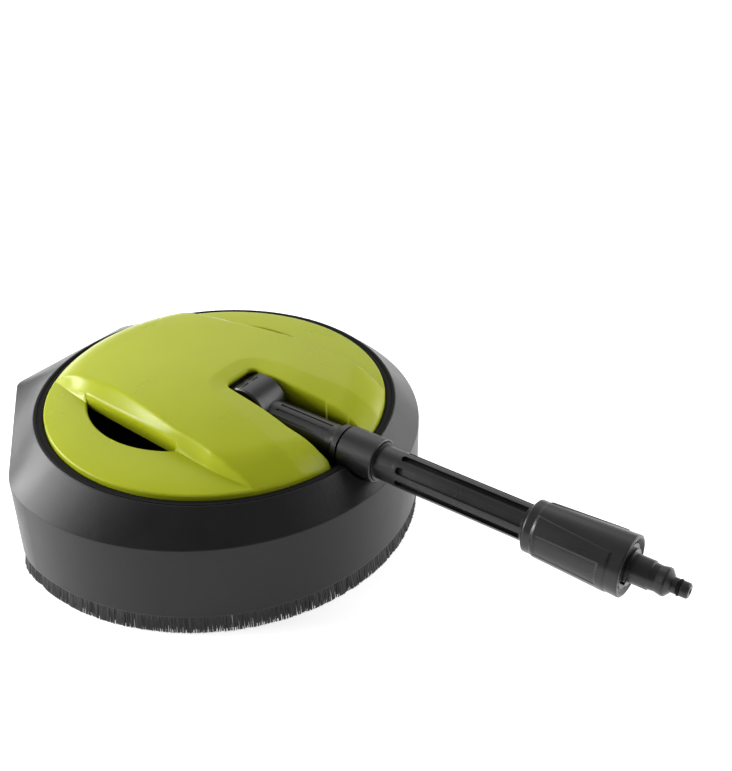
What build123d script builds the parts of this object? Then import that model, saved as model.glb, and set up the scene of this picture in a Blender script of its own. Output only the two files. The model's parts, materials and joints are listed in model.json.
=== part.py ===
from build123d import *
from math import atan2, cos, degrees, hypot, radians, sin, sqrt, tan
import os

os.makedirs("parts", exist_ok=True)

# ---------------------------------------------------------------- driving sizes, mm
# Cover
cover_radius = 119.5
cover_top = 115.0
crown_radius = 474.0
crown_edge = cover_radius - 27.5    # plan radius where the crown meets the rounded shoulder
rim_radius = cover_radius - 1.0
rim_height = 90.0
rim_side = 1.2                      # height of the rim's short slanted side
cover_skin = 2.5
slot_start = 22.0
slot_corner = 5.0
slot_stations = [(slot_start, 14.0), (58.0, 16.5), (82.0, 19.2), (108.0, 19.2), (122.0, 17.4)]
slot_wall_bottom = 86.5
slot_end_bottom = 109.0
grip_line = 70.5                    # rotor axis to the hand hold's edge
grip_edge_height = 102.5
grip_ledge_height = 94.6            # lowered outer part, at the foot of the edge
grip_yaw = 3.5                      # the two hand holds spread by this angle towards the lance
grip_facet_slope = 1.18
grip_outer_slope = 0.10
grip_opening_length = 91.0
grip_opening_shift = -9.5
grip_opening_depth = 17.5
grip_wall_bottom = 90.0
boss_radius = 4.6

# Trim ring round the cover
ring_gap = 0.5                      # cover to ring
ring_width = 5.9
ring_play = 0.2                     # ring to the housing's lip
ring_lip = 0.6                      # housing lip outside the ring
ring_top = 88.8
ring_inner = cover_radius + ring_gap
ring_outer = ring_inner + ring_width

# Housing, a round bell with a blunt nose opposite the lance
shell_radius = 151.0                # plan radius of the housing at its widest edge
shell_shift = 8.5                   # the housing's centre lies this far behind the rotor axis
nose_reach = shell_radius + 4.0     # rotor axis to the nose's flat face
nose_side_distance = shell_radius - 12.5
nose_side_angle = 48.2              # degrees from straight back to a side's normal
nose_corner = 12.0
nose_blend = 70.0
skirt_bottom = 14.0                 # height of the housing's lower lip above the floor
crease_height = 69.0                # where the upright wall turns into the sloping shoulder
shoulder_top = ring_top - 0.3
wall = 3.0
lip_wall = 1.8                      # thinner wall beside the brush
brush_pocket_top = 37.0
deck_top = 62.0
deck_thickness = 3.0
deck_radius = cover_radius - 2.5
land_height = 84.0                  # ledge that carries the trim ring and the cover
land_thickness = 3.0
crease_drop = 2.5                   # the inner crease lies this far under the outer one
rib_count = 12
rib_thickness = 2.0
rib_bottom = 45.0

# Brush
brush_gap = 0.2
brush_width = 5.6
brush_rail_wall = 1.4
brush_rail_bottom = 24.0
brush_socket_top = 33.0
brush_screw_count = 8
brush_screw_inset = 17.0
brush_lug_height = 3.5
segment_gap = 0.6                   # between the ends of two rail segments

# Rotor bearing stack, on the rotor axis
shaft_radius = 6.0
shaft_bore = 2.5
shaft_bottom = 27.0
shaft_length = 47.0
bearing_outer = 14.0
bearing_width = 7.0
bearing_gap = 1.5
race_thickness = 2.4
ball_clearance = 0.04
ball_count = 8
housing_sleeve_wall = 3.0
bearing_flange_radius = 27.0
bearing_flange = 3.5
running_gap = 0.05
centre_bolt_circle = 21.5
hub_radius = 15.0
hub_top = 38.0
hub_bottom = 24.0
arm_reach = shell_radius - 49.0
arm_radius = 4.0
arm_bore = 2.2
arm_height = 31.0
nozzle_lean = 25.0

# Lance swivel
pivot_x = 37.0
pivot_height = 94.0
drum_radius = 18.5
drum_half_width = 12.5
trunnion_radius = 7.0
trunnion_bore = 3.0
cheek_inner = 19.5
cheek_width = 6.0
cheek_length = 30.0
cap_height = 9.6
lance_height = 91.5
manifold_flange_radius = 26.0
block_drop = 1.5                    # the manifold block ends this far under the drum
manifold_flange = 8.0
arm_tube_radius = 11.6
arm_end = 116.0
arm_rim_radius = 13.9
arm_rim_width = 5.0
spigot_radius = 8.5
spigot_end = 128.0
travel_gap = 0.3
rest_x = 95.0

# Lance tube, union collar and coupling
collar_start = arm_end + 0.4
collar_end = 143.5
collar_radius = 14.8
collar_bore = arm_tube_radius + travel_gap
collar_recess = 13.5
collar_recess_depth = 1.8
collar_play = 1.2                   # collar to its saddle in the housing
tube_radius = 11.7
tube_neck = 11.5
flute_start = 158.0
flute_length = 92.0
flute_end = flute_start + flute_length
flute_floor = 8.9
flute_count = 8
flute_width = 4.6
flute_turn = 12.0
tube_end = flute_end + 50.0
tube_core = 6.0
pipe_radius = 4.0
pipe_bore = 2.7
sleeve_start = flute_end + 3.0
sleeve_length = 63.0
sleeve_end = sleeve_start + sleeve_length
sleeve_radius_back = 17.3
sleeve_radius_front = 19.7
sleeve_band = 6.0
sleeve_band_step = 0.7
sleeve_skin = 2.4
sleeve_end_wall = 3.0
sleeve_mouth = 11.0                 # depth of the open mouth
flange_radius = 14.0
flange_width = 3.5
nipple_tip = sleeve_end + 35.0
nipple_radius = 8.9
nipple_stem = 4.7
nipple_bore = 1.9

# Fasteners
screw_radius = 2.0
screw_head_radius = 3.8
screw_head_height = 2.2
pilot_gap = 0.3

UPRIGHT = (Align.CENTER, Align.CENTER, Align.MIN)


# ---------------------------------------------------------------- small helpers
def tube(outer, inner, low, high):
    """Upright tube, or a disc when inner is zero."""
    body = Pos(0, 0, low) * Cylinder(outer, high - low, align=UPRIGHT)
    if inner > 0:
        body -= Pos(0, 0, low - 1) * Cylinder(inner, high - low + 2, align=UPRIGHT)
    return body


def along_x(outer, inner, start, end):
    """Tube along the lance axis from start to end."""
    return Pos(start, 0, lance_height) * Rot(0, 90, 0) * tube(outer, inner, 0, end - start)


def turned(points):
    """Solid of revolution about Z from (radius, height) points."""
    profile = make_face(Polyline(*[(r, 0, z) for r, z in points], close=True))
    return revolve(profile, Axis.Z)


def turned_x(points):
    """Solid of revolution about the lance axis from (x, radius) points."""
    profile = make_face(Polyline(*[(x, 0, lance_height + r) for x, r in points], close=True))
    return revolve(profile, Axis((0, 0, lance_height), (1, 0, 0)))


def outline(grow):
    """Plan of the housing: a circle that ends in a flat nose with two slanted sides."""
    radius = shell_radius + grow
    reach = nose_reach + grow
    distance = nose_side_distance + grow
    angle = radians(nose_side_angle)
    corner_y = (distance - (reach - shell_shift) * cos(angle)) / sin(angle)
    half_side = sqrt(radius ** 2 - distance ** 2)
    end_x = -shell_shift - distance * cos(angle) + half_side * sin(angle)
    end_y = distance * sin(angle) + half_side * cos(angle)
    front = ThreePointArc((end_x, end_y), (radius - shell_shift, 0), (end_x, -end_y))
    nose = Polyline((end_x, -end_y), (-reach, -corner_y), (-reach, corner_y), (end_x, end_y))
    plan = make_face([front, *nose.edges()])
    ordered = plan.vertices().sort_by(Axis.X)
    plan = fillet(ordered[:2], max(nose_corner + grow, 2.0))
    return fillet(plan.vertices().sort_by(Axis.X)[-2:], nose_blend)


def round_copy(plan, radius, height):
    """Circle split at the same angles as the edges of plan, for a ruled loft."""
    arcs = []
    for edge in plan.edges():
        spots = []
        for share in (0, 0.5, 1):
            point = edge @ share
            turn = atan2(point.Y, point.X)
            spots.append((radius * cos(turn), radius * sin(turn), height))
        arcs.append(ThreePointArc(*spots))
    return Face(Wire(arcs))


def shoulder(plan, low, radius, high):
    """Ruled solid from the housing plan at low up to a circle at high."""
    base = Pos(0, 0, low) * plan
    return loft([base.faces()[0], round_copy(plan, radius, high)], ruled=True)


def screw(length, head_radius=screw_head_radius, radius=screw_radius):
    """Pan-head screw pointing up, its head's upper face at z = 0."""
    head = Pos(0, 0, -screw_head_height) * Cylinder(
        head_radius, screw_head_height, align=UPRIGHT
    )
    head = fillet(head.edges().sort_by(Axis.Z)[0], 0.9)
    drive = Pos(0, 0, -screw_head_height) * Box(head_radius, 0.9, 2.0)
    cross = Pos(0, 0, -screw_head_height) * Box(0.9, head_radius, 2.0)
    shank = Cylinder(radius, length, align=UPRIGHT)
    shank = chamfer(shank.edges().sort_by(Axis.Z)[-1], 0.8)
    return head + shank - drive - cross


def save(name, *solids):
    """Write one node, made of one or more separate solids."""
    flat = [solid for item in solids for solid in item.solids()]
    node = flat[0] if len(flat) == 1 else Compound(children=flat)
    export_step(node, f"parts/{name}.step")


# ---------------------------------------------------------------- places shared by pieces
shoulder_radius = ring_outer + ring_play + ring_lip
bearing_top = deck_top - deck_thickness
upper_bearing = bearing_top - 1.0 - bearing_width
lower_bearing = upper_bearing - bearing_gap - bearing_width
sleeve_lip = 2.0
sleeve_bottom = lower_bearing - sleeve_lip
shaft_top = shaft_bottom + shaft_length
cheek_top = pivot_height
cover_bosses = [(-72, -42), (-72, 42), (66, -50), (66, 50)]
centre_turns = [radians(turn) for turn in (60, 120, 240, 300)]
centre_bolts = [(centre_bolt_circle * cos(turn), centre_bolt_circle * sin(turn)) for turn in centre_turns]
cap_bolts = [pivot_x - cheek_length / 2 + 3.2, pivot_x + cheek_length / 2 - 3.2]


def brush_spots():
    """Places of the brush screws, spread evenly round the housing plan."""
    path = outline(-brush_screw_inset).face().outer_wire()
    points = [path @ ((index + 0.5) / brush_screw_count) for index in range(brush_screw_count)]
    return [(point.X, point.Y) for point in points]


brush_places = brush_spots()


# ---------------------------------------------------------------- housing
plan_outer = outline(0)
plan_inner = outline(-wall)
plan_lip = outline(-lip_wall)
housing_full = extrude(Pos(0, 0, skirt_bottom) * plan_outer, crease_height - skirt_bottom)
housing_full += shoulder(plan_outer, crease_height, shoulder_radius, shoulder_top)


def make_housing():
    """Bell with its deck, ribs, brush bosses, saddle for the collar and rest post for the arm."""
    inner_crease = crease_height - crease_drop
    land_bottom = land_height - land_thickness
    share = (land_bottom - inner_crease) / (shoulder_top - crease_height)
    full_run = shell_radius - shell_shift - shoulder_radius
    inner_radius = shell_radius - shell_shift - wall - share * full_run
    inner = extrude(plan_inner, inner_crease)
    inner += shoulder(plan_inner, inner_crease, inner_radius, land_bottom)
    body = housing_full - inner
    body -= extrude(plan_lip, brush_pocket_top)
    body += tube(deck_radius, deck_radius - wall, deck_top - deck_thickness, land_height)
    body += tube(deck_radius, 0, deck_top - deck_thickness, deck_top)
    bracing = tube(deck_radius + 0.5, 0, 0, deck_top)
    rib_length = nose_reach - deck_radius + 5.0
    for index in range(rib_count):
        turn = 360 * (index + 0.5) / rib_count
        height = land_bottom - rib_bottom + 2
        rib = Pos(deck_radius + rib_length / 2, 0, rib_bottom)
        rib *= Box(rib_length, rib_thickness, height, align=UPRIGHT)
        body += (Rot(0, 0, turn) * rib & housing_full) - bracing
    for x, y in brush_places:
        boss = Pos(x, y, 0) * tube(boss_radius, 0, brush_pocket_top, shoulder_top)
        body += boss & housing_full
    body += tube(deck_radius - 1, deck_radius - wall, deck_top - deck_thickness, land_height)
    # saddle under the union collar, with its own floor
    saddle_radius = collar_radius + collar_play
    saddle = along_x(saddle_radius + wall, 0, deck_radius - wall + 1, nose_reach)
    body += saddle & (housing_full - tube(deck_radius - wall + 1, 0, 0, cover_top))
    body -= tube(deck_radius - wall, 0, deck_top, shoulder_top + 1)
    body -= tube(ring_outer + ring_play, 0, land_height, shoulder_top + 1)
    body -= along_x(saddle_radius, 0, deck_radius - wall - 5, nose_reach)
    # post that the lowered arm rests over
    post = Pos(rest_x, 0, deck_top) * Box(7.0, 20.0, land_height - deck_top, align=UPRIGHT)
    body += post - along_x(arm_tube_radius + travel_gap, 0, 0, nose_reach)
    # holes in the deck and in the brush bosses
    body -= tube(bearing_outer, 0, deck_top - deck_thickness - 1, deck_top + 1)
    for x, y in centre_bolts + cover_bosses:
        hole = tube(screw_radius + pilot_gap, 0, deck_top - deck_thickness - 1, deck_top + 1)
        body -= Pos(x, y, 0) * hole
    for x, y in brush_places:
        body -= Pos(x, y, 0) * tube(screw_radius, 0, brush_pocket_top - 1, brush_pocket_top + 12)
    return body


# ---------------------------------------------------------------- cover
def dome(skin):
    """Filled dome, reduced by skin all over."""
    crown = crown_radius
    crown_centre = cover_top - crown
    edge_z = crown_centre + sqrt(crown ** 2 - crown_edge ** 2)
    slope = crown_edge / crown
    chord = hypot(rim_radius - crown_edge, edge_z - rim_height)
    fall = atan2(edge_z - rim_height, rim_radius - crown_edge)
    round_radius = chord / (2 * sin(fall - slope))
    centre_r = crown_edge - round_radius * sin(slope)
    centre_z = edge_z - round_radius * cos(slope)
    big = crown - skin
    small = round_radius - skin
    end_turn = 2 * (fall - slope) + slope
    joint = (big * sin(slope), crown_centre + big * cos(slope))
    middle = (slope + end_turn) / 2
    half = (centre_r + small * sin(middle), centre_z + small * cos(middle))
    end = (centre_r + small * sin(end_turn), centre_z + small * cos(end_turn))
    crown_mid = (big * sin(slope / 2), crown_centre + big * cos(slope / 2))
    side = cover_radius - skin
    profile = [
        ThreePointArc(*[(r, 0, z) for r, z in ((0, crown_centre + big), crown_mid, joint)]),
        ThreePointArc(*[(r, 0, z) for r, z in (joint, half, end)]),
        Line((end[0], 0, end[1]), (side, 0, end[1] - rim_side)),
        Line((side, 0, end[1] - rim_side), (side, 0, land_height - skin)),
        Line((side, 0, land_height - skin), (0, 0, land_height - skin)),
        Line((0, 0, land_height - skin), (0, 0, crown_centre + big)),
    ]
    return revolve(make_face(Wire(profile)), Axis.Z)


def grip_place(side):
    """Frame of a hand hold: local X runs along its edge, local Y out from the axis."""
    if side < 0:
        return Rot(0, 0, 180 - grip_yaw)
    return Rot(0, 0, grip_yaw)


def grip_cut(side, skin):
    """Space above a hand hold: its slanted facet, the upright wall under it and the lowered outer part."""
    drop_outer = skin * sqrt(1 + grip_outer_slope ** 2)
    drop_facet = skin * sqrt(1 + grip_facet_slope ** 2)
    edge = grip_line - skin
    facet_low = grip_edge_height + grip_facet_slope * skin - drop_facet
    outer_low = grip_ledge_height + grip_outer_slope * skin - drop_outer
    far = cover_radius + 15.0
    top = cover_top + 25.0
    points = [
        (edge, facet_low),
        (edge, outer_low),
        (far, outer_low - grip_outer_slope * (far - edge)),
        (far, top),
        (edge - (top - facet_low) / grip_facet_slope, top),
    ]
    face = make_face(Polyline(*[(-far, y, z) for y, z in points], close=True))
    return grip_place(side) * extrude(face, 2 * far, dir=(1, 0, 0))


def grip_opening(side):
    """D-shaped opening that the fingers go through."""
    shift = grip_opening_shift * side
    half = grip_opening_length / 2
    outline_face = make_face(
        [
            Line((shift - half, grip_line), (shift + half, grip_line)),
            ThreePointArc(
                (shift + half, grip_line),
                (shift, grip_line + grip_opening_depth),
                (shift - half, grip_line),
            ),
        ]
    )
    return grip_place(side) * extrude(Pos(0, 0, 70) * outline_face, 60)


def slot_plan(grow):
    """Plan of the lance slot, open at the rim."""
    near = [(x, -(half + grow)) for x, half in slot_stations]
    far = [(x, half + grow) for x, half in reversed(slot_stations)]
    near[0] = (near[0][0] - grow, near[0][1])
    far[-1] = (far[-1][0] - grow, far[-1][1])
    near[-1] = (near[-1][0] + 12, near[-1][1])
    far[0] = (far[0][0] + 12, far[0][1])
    plan = make_face(Polyline(*near, *far, close=True))
    return fillet(plan.vertices().sort_by(Axis.X)[:2], slot_corner + grow)


def make_cover():
    """Domed cover with two hand holds, the lance slot and its walls, and four screw bosses."""
    outer = dome(0)
    inner = dome(cover_skin)
    for side in (-1, 1):
        outer -= grip_cut(side, 0)
        inner -= grip_cut(side, cover_skin)
    shell = outer - inner
    shell -= tube(cover_radius + 5, 0, 0, land_height)
    for side in (-1, 1):
        shift = grip_opening_shift * side
        height = grip_edge_height - grip_wall_bottom + 8.0
        backing = Pos(shift, grip_line - cover_skin / 2, grip_wall_bottom)
        backing *= Box(grip_opening_length + 6, cover_skin, height, align=UPRIGHT)
        shell += (grip_place(side) * backing) & outer
        shell -= grip_opening(side)
    fence = extrude(Pos(0, 0, slot_wall_bottom) * slot_plan(cover_skin), 40) & outer
    end_gap = Pos(slot_start, 0, slot_end_bottom) * Box(
        20, 2 * (slot_stations[0][1] - 1), 60, align=(Align.CENTER, Align.CENTER, Align.MAX)
    )
    relief_height = pivot_height + trunnion_radius + 1.5
    relief = Pos(pivot_x, 0, 0) * Box(2 * trunnion_radius + 3.0, 60, relief_height, align=UPRIGHT)
    fence = fence - end_gap - relief
    fence -= tube(cover_radius + 100, deck_radius - 1, slot_wall_bottom - 5, rim_height)
    shell += fence
    for x, y in cover_bosses:
        boss = tube(boss_radius, 0, deck_top, cover_top)
        shell += (Pos(x, y, 0) * boss) & (outer + tube(deck_radius - 10, 0, deck_top, rim_height))
    shell -= extrude(Pos(0, 0, deck_top) * slot_plan(0), cover_top)
    for x, y in cover_bosses:
        shell -= Pos(x, y, 0) * tube(screw_radius, 0, deck_top - 1, deck_top + 16)
    return shell


def make_trim_ring():
    """Black ring in the gap between cover and shoulder, open at the saddle."""
    groove = ring_inner + 1.5
    ring = turned(
        [
            (ring_inner, land_height),
            (ring_outer, land_height),
            (ring_outer, ring_top),
            (ring_outer - 1.2, ring_top),
            (ring_outer - 1.8, ring_top - 0.9),
            (groove, ring_top - 0.9),
            (ring_inner, ring_top - 1.6),
        ]
    )
    return ring - along_x(collar_radius + collar_play, 0, deck_radius - wall - 5, nose_reach)


# ---------------------------------------------------------------- brush
def band(outer_gap, inner_gap, low, high):
    """Band that follows the housing plan between two offsets."""
    return extrude(Pos(0, 0, low) * (outline(-outer_gap) - outline(-inner_gap)), high - low)


def segments(ring):
    """The ring cut into equal segments about the housing's centre, one for each brush screw."""
    pieces = []
    span = 360 / brush_screw_count
    for x, y in brush_places:
        turn = degrees(atan2(y, x + shell_shift))
        reach = 2 * shell_radius
        wedge = make_face(
            Polyline(
                (0, 0),
                (reach, -reach * tan(radians(span / 2))),
                (reach, reach * tan(radians(span / 2))),
                close=True,
            )
        )
        gap = segment_gap / 2 / sin(radians(span / 2))
        sector = Pos(-shell_shift, 0, 0) * Rot(0, 0, turn) * Pos(gap, 0, 0) * extrude(wedge, cover_top)
        pieces.append(ring & sector)
    return pieces


def make_brush():
    """Brush ring in segments: socketed rails with a screw lug each, their tuft blocks and the screws."""
    outer_gap = lip_wall + brush_gap
    bristle_outer = outer_gap + brush_rail_wall
    bristle_inner = bristle_outer + brush_width
    rail = band(outer_gap, bristle_inner + brush_rail_wall, brush_rail_bottom, brush_pocket_top)
    rail -= band(bristle_outer, bristle_inner, brush_rail_bottom - 1, brush_socket_top)
    inside = extrude(outline(-outer_gap - 2.0), brush_pocket_top)
    lug_bottom = brush_pocket_top - brush_lug_height
    for x, y in brush_places:
        turn = degrees(atan2(y, x + shell_shift))
        lug = Pos(x, y, 0) * tube(5.0, 0, lug_bottom, brush_pocket_top)
        web = Rot(0, 0, turn) * Pos(4, 0, 0) * Box(9, 10, brush_lug_height, align=UPRIGHT)
        rail += (lug + Pos(x, y, lug_bottom) * web) & inside
        rail -= Pos(x, y, 0) * tube(screw_radius + pilot_gap, 0, 0, brush_pocket_top + 1)
    bristles = band(bristle_outer, bristle_inner, 0, brush_socket_top)
    screws = [Pos(x, y, lug_bottom) * screw(14) for x, y in brush_places]
    return segments(rail), segments(bristles), screws


# ---------------------------------------------------------------- rotor bearings
def make_bearing_housing():
    """Flanged cup under the deck that holds both bearings."""
    outer = bearing_outer + housing_sleeve_wall
    body = turned(
        [
            (bearing_outer - 2.0, sleeve_bottom),
            (outer, sleeve_bottom),
            (outer, bearing_top - bearing_flange),
            (bearing_flange_radius, bearing_top - bearing_flange),
            (bearing_flange_radius, bearing_top),
            (bearing_outer, bearing_top),
            (bearing_outer, lower_bearing),
            (bearing_outer - 2.0, lower_bearing),
        ]
    )
    for x, y in centre_bolts:
        body -= Pos(x, y, 0) * tube(screw_radius + pilot_gap, 0, 0, bearing_top + 1)
    return body


def make_bearing(low):
    """Outer race, inner race and balls of a deep-groove ball bearing."""
    pitch = (shaft_radius + bearing_outer) / 2
    inner_edge = shaft_radius + race_thickness
    outer_edge = bearing_outer - race_thickness
    middle = low + bearing_width / 2
    ball = (outer_edge - inner_edge) / 2 + 0.8
    groove = Pos(0, 0, middle) * Torus(pitch, ball + ball_clearance)
    outer_race = tube(bearing_outer, outer_edge, low, low + bearing_width) - groove
    inner_race = tube(inner_edge, shaft_radius, low, low + bearing_width) - groove
    balls = []
    for index in range(ball_count):
        turn = radians(360 * index / ball_count)
        balls.append(Pos(pitch * cos(turn), pitch * sin(turn), middle) * Sphere(ball))
    return outer_race, inner_race, balls


def make_shaft():
    body = tube(shaft_radius, 0, shaft_bottom, shaft_top)
    body = chamfer(body.edges().sort_by(Axis.Z)[-1], 0.8)
    body -= tube(shaft_radius + 1, shaft_radius - 0.8, lower_bearing - 1.3, lower_bearing - 0.1)
    body -= tube(shaft_bore, 0, arm_height - 3, shaft_top + 1)
    body -= Pos(0, 0, arm_height) * Rot(0, 90, 0) * Cylinder(shaft_bore, 4 * shaft_radius)
    return body


def make_rotor_hub():
    body = tube(hub_radius, 0, hub_bottom, hub_top)
    body = chamfer(body.edges().group_by(Axis.Z)[-1], 1.5)
    body = chamfer(body.edges().group_by(Axis.Z)[0], 1.0)
    body -= tube(shaft_radius, 0, hub_bottom - 1, hub_top + 1)
    body -= tube(10.0, 0, hub_bottom - 1, shaft_bottom)
    for side in (-1, 1):
        socket = Rot(0, 90, 0) * Cylinder(arm_radius, hub_radius, align=UPRIGHT)
        body -= Rot(0, 0, 0 if side > 0 else 180) * Pos(hub_radius - 7.0, 0, arm_height) * socket
        port = Rot(0, 90, 0) * Cylinder(shaft_bore, hub_radius, align=UPRIGHT)
        body -= Rot(0, 0, 0 if side > 0 else 180) * Pos(0, 0, arm_height) * port
    return body


def make_spray_arm():
    """One spray arm on the +X side, with its nozzle holder and its nozzle tip."""
    start = hub_radius - 7.0
    pipe = Pos(start, 0, arm_height) * Rot(0, 90, 0) * tube(arm_radius, arm_bore, 0, arm_reach - start)
    holder = Pos(arm_reach - 6.0, 0, arm_height) * Rot(0, 90, 0) * tube(6.5, arm_radius, 0, 6.0)
    holder += Pos(arm_reach, 0, arm_height) * Rot(0, 90, 0) * tube(6.5, 0, 0, 11.0)
    lean = Pos(arm_reach + 5.5, 0, arm_height) * Rot(nozzle_lean, 0, 0)
    holder += lean * tube(5.5, 0, -10.0, 0)
    holder -= lean * tube(3.0, 0, -11.0, -3.0)
    holder -= Pos(arm_reach - 1, 0, arm_height) * Rot(0, 90, 0) * tube(arm_bore, 0, 0, 6.5)
    holder -= lean * tube(arm_bore, 0, -5.0, 0)
    tip = lean * (tube(3.0, 1.0, -10.0, -5.0) + tube(4.6, 1.0, -13.0, -10.0))
    return pipe, holder, tip


# ---------------------------------------------------------------- lance swivel
def make_manifold():
    """Water inlet block: flange on the deck, chamber over the shaft, two cheeks for the swivel."""
    block_top = pivot_height - drum_radius - block_drop
    body = tube(manifold_flange_radius, 0, deck_top, deck_top + manifold_flange)
    body += tube(bearing_outer - 0.1, 10.0, bearing_top + 0.2, deck_top)
    body += tube(14.5, 0, deck_top, block_top + 6.0) - Pos(pivot_x, 0, pivot_height) * (
        Rot(90, 0, 0) * Cylinder(drum_radius + 1.2, 60)
    )
    width = 2 * (cheek_inner + cheek_width)
    length = cheek_length
    body += Pos(pivot_x, 0, deck_top) * Box(length, width, block_top - deck_top, align=UPRIGHT)
    bridge = Pos(pivot_x / 2, 0, deck_top) * Box(
        pivot_x, 20.0, block_top - deck_top, align=UPRIGHT
    )
    body += bridge
    for side in (-1, 1):
        cheek = Pos(pivot_x, side * (cheek_inner + cheek_width / 2), deck_top)
        body += cheek * Box(length, cheek_width, cheek_top - deck_top, align=UPRIGHT)
    body -= Pos(pivot_x, 0, pivot_height) * Rot(90, 0, 0) * Cylinder(trunnion_radius + running_gap, 80)
    body -= tube(10.0, 0, bearing_top, deck_top + 0.5)
    body -= tube(shaft_radius + 0.4, 0, deck_top, shaft_top + 1.0)
    body -= Pos(0, 0, block_top - 3.5) * Rot(0, 90, 0) * Cylinder(
        trunnion_bore, pivot_x, align=UPRIGHT
    )
    for x, y in centre_bolts:
        body -= Pos(x, y, 0) * tube(screw_radius, 0, deck_top - 1, deck_top + manifold_flange - 1)
    for side in (-1, 1):
        for x in cap_bolts:
            hole = Pos(x, side * (cheek_inner + cheek_width / 2), 0)
            body -= hole * tube(1.4, 0, cheek_top - 10, cheek_top + 1)
    return body


def make_cap(side):
    """Upper half of a swivel bearing, screwed on a cheek."""
    y = side * (cheek_inner + cheek_width / 2)
    body = Pos(pivot_x, y, cheek_top) * Box(
        cheek_length, cheek_width, 4.0, align=UPRIGHT
    )
    arch = Pos(pivot_x, y, pivot_height) * Rot(90, 0, 0) * Cylinder(cap_height, cheek_width)
    body += arch & (Pos(pivot_x, y, cheek_top) * Box(60, 60, 30, align=UPRIGHT))
    body -= Pos(pivot_x, y, pivot_height) * Rot(90, 0, 0) * Cylinder(trunnion_radius + running_gap, 60)
    for x in cap_bolts:
        body -= Pos(x, y, 0) * tube(1.6, 0, cheek_top - 1, cheek_top + 12)
    return body


def cap_screws():
    screws = []
    for side in (-1, 1):
        for x in cap_bolts:
            spot = Pos(x, side * (cheek_inner + cheek_width / 2), cheek_top + 4.0)
            screws.append(spot * Rot(180, 0, 0) * screw(10.0, 2.7, 1.4))
    return screws


def make_swivel_arm():
    """Swivel drum with hollow trunnions and the short arm that leads to the union."""
    body = Pos(pivot_x, 0, pivot_height) * Rot(90, 0, 0) * Cylinder(drum_radius, 2 * drum_half_width)
    body = chamfer(body.edges().filter_by(GeomType.CIRCLE), 1.0)
    body += along_x(arm_tube_radius, 0, pivot_x, arm_end)
    body += turned_x(
        [
            (arm_end - arm_rim_width - 3.0, 0),
            (arm_end - arm_rim_width - 3.0, arm_tube_radius),
            (arm_end - arm_rim_width, arm_rim_radius),
            (arm_end - 1.0, arm_rim_radius),
            (arm_end - 1.0, arm_tube_radius),
            (arm_end, arm_tube_radius),
            (arm_end, 0),
        ]
    )
    body += along_x(spigot_radius, 0, arm_end, spigot_end)
    # drum teeth, in two rows, on the side away from the arm
    for row in (-6.0, 4.0):
        for index in range(6):
            turn = 100 + 11 * index
            tooth = Rot(0, -turn, 0) * Pos(drum_radius, 0, 0) * Box(1.2, 6.0, 1.6)
            body -= Pos(pivot_x, row, pivot_height) * tooth
    # long shallow grooves on top of the arm
    for turn in (-50, -25, 0, 25, 50):
        groove = Pos(0, 0, lance_height) * Rot(turn, 0, 0) * Pos(82, 0, arm_tube_radius) * Box(44, 1.6, 1.6)
        body -= groove
    length = 2 * (cheek_inner + cheek_width)
    body += Pos(pivot_x, 0, pivot_height) * Rot(90, 0, 0) * Cylinder(trunnion_radius, length)
    body -= Pos(pivot_x, 0, pivot_height) * Rot(90, 0, 0) * Cylinder(trunnion_bore, length - 4)
    for side in (-1, 1):
        seat = Pos(pivot_x, side * (cheek_inner + cheek_width / 2), pivot_height) * Rot(90, 0, 0)
        body -= seat * tube(trunnion_radius + 1, trunnion_radius - 1.4, -1.1, 1.1)
    body -= along_x(trunnion_bore, 0, pivot_x, spigot_end + 1)
    body -= along_x(spigot_radius + 1, spigot_radius - 1.4, spigot_end - 6.1, spigot_end - 3.9)
    return body


def trunnion_seals():
    seals = []
    for side in (-1, 1):
        seat = Pos(pivot_x, side * (cheek_inner + cheek_width / 2), pivot_height) * Rot(90, 0, 0)
        seals.append(seat * Torus(trunnion_radius - 0.7, 0.7))
    return seals


# ---------------------------------------------------------------- lance tube and coupling
def make_lance_tube():
    """Fluted tube, with a socket for the arm's spigot and a seat for the inlet spigot."""
    body = along_x(tube_radius, 0, flute_start, flute_end)
    for index in range(flute_count):
        turn = 360 * index / flute_count + flute_turn
        channel = Pos(flute_start + 2.5, 0, flute_floor) * Box(
            flute_end, flute_width, 10, align=(Align.MIN, Align.CENTER, Align.MIN)
        )
        channel = fillet(channel.edges().filter_by(Axis.Z).group_by(Axis.X)[0], 2.0)
        body -= Pos(0, 0, lance_height) * Rot(turn, 0, 0) * channel
    body += along_x(tube_neck, 0, collar_end - 2.0, flute_start)
    body += along_x(collar_bore - running_gap, 0, spigot_end - 10.0, collar_end - 2.0)
    recess_floor = collar_end - collar_recess_depth
    body += along_x(collar_recess - travel_gap, 0, recess_floor + travel_gap, collar_end + 0.8)
    body += along_x(tube_radius, 0, flute_end, tube_end)
    body -= along_x(spigot_radius + 0.1, 0, spigot_end - 11.0, spigot_end + 0.2)
    body -= along_x(tube_core, 0, tube_end - 26, tube_end + 1)
    body -= along_x(pipe_radius, 0, spigot_end - 1, tube_end)
    body -= along_x(tube_radius + 1, tube_radius - 1.0, sleeve_start + 3.3, sleeve_start + 4.7)
    return body


def make_collar():
    """Union collar, held between the arm's rim and a ring on the lance tube."""
    front = collar_end - collar_recess_depth
    return turned_x(
        [
            (collar_start, collar_bore),
            (collar_start, collar_radius - 0.8),
            (collar_start + 0.8, collar_radius),
            (collar_end - 0.6, collar_radius),
            (collar_end, collar_radius - 0.6),
            (collar_end, collar_recess),
            (front, collar_recess),
            (front, collar_bore),
        ]
    )


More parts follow.
